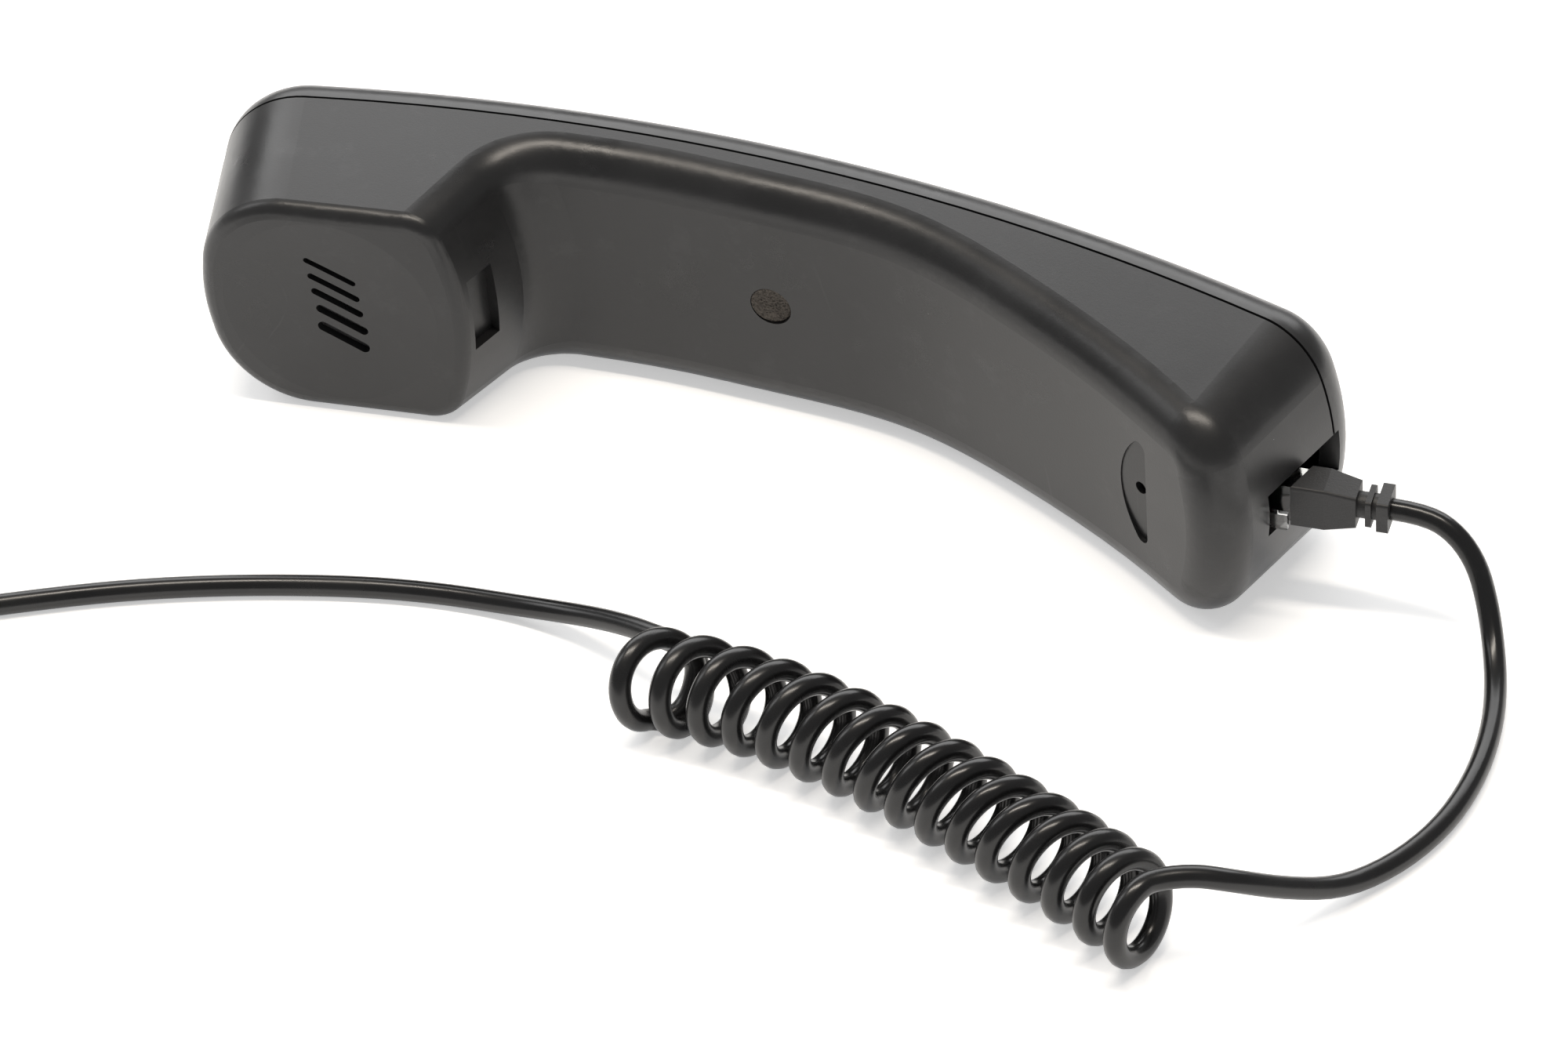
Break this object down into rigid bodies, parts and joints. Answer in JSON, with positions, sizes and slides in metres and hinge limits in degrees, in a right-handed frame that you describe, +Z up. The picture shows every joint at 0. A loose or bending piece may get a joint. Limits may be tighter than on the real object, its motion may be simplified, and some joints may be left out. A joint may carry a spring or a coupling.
{
  "type": "telephone handset",
  "caption": "Corded telephone handset lying on its side, with slotted earpiece, split casing, clear plug and curly cord.",
  "frame": {"origin": "centre of the handset's own box, without its cord and plugs, on the surface that it lies on", "axes": "+X along the handset from the ear end to the mouth end, -Y the way the earpiece faces, +Z up from the flank it lies on"},
  "size_m": [0.3082, 0.2112, 0.0501],
  "materials": {
    "case": "satin, finely textured",
    "cover": "satin, finely textured",
    "screw": "zinc plated",
    "foam": "open-cell foam",
    "cloth": "woven",
    "tin": "satin",
    "diaphragm": "thin film",
    "magnet": "nickel plated",
    "board": "laminate",
    "rubber": "matt",
    "steel": "sheared plate",
    "jack": "satin",
    "gold": "gold plated",
    "wire_red": "insulation",
    "wire_green": "insulation",
    "wire_black": "insulation",
    "wire_yellow": "insulation",
    "clear": "clear polycarbonate",
    "boot": "matt moulded",
    "cord": "semi-gloss flexible plastic"
  },
  "bodies": {
    "handset": {"back_cover": "cover", "ballast_plate": "steel", "ballast_screw_1": "screw", "ballast_screw_2": "screw", "case_screw": "screw", "cord_coil": "cord", "cord_far_lead": "cord", "cord_lead": "cord", "cord_spare_coil": "cord", "cord_tail": "cord", "far_plug_body": "clear", "far_plug_boot": "boot", "far_plug_contacts": "gold", "front_shell": "case", "jack_contacts": "gold", "jack_housing": "jack", "microphone_boot": "rubber", "microphone_capsule": "tin", "plug_body": "clear", "plug_boot": "boot", "plug_contacts": "gold", "receiver_basket": "tin", "receiver_cloth": "cloth", "receiver_cone": "diaphragm", "receiver_gasket": "foam", "receiver_magnet": "magnet", "receiver_terminal_board": "board", "screw_hole_pad": "foam", "wire_black": "wire_black", "wire_green": "wire_green", "wire_red": "wire_red", "wire_yellow": "wire_yellow"},
    "near_latch": {"plug_latch": "clear"},
    "far_latch": {"far_plug_latch": "clear"}
  },
  "joints": [
    {"name": "plug_latch_press", "type": "hinge", "parent": "handset", "child": "near_latch", "pos_m": [0.08991, -0.01978, 0.02156], "axis": [0, -0.0666, 0.9978], "range_deg": [0, 10], "stiffness_Nm_per_rad": 0.3},
    {"name": "far_plug_latch_press", "type": "hinge", "parent": "handset", "child": "far_latch", "pos_m": [-0.1597, -0.1761, 0.00647], "axis": [-1, 0, 0], "range_deg": [0, 10], "stiffness_Nm_per_rad": 0.3}
  ]
}
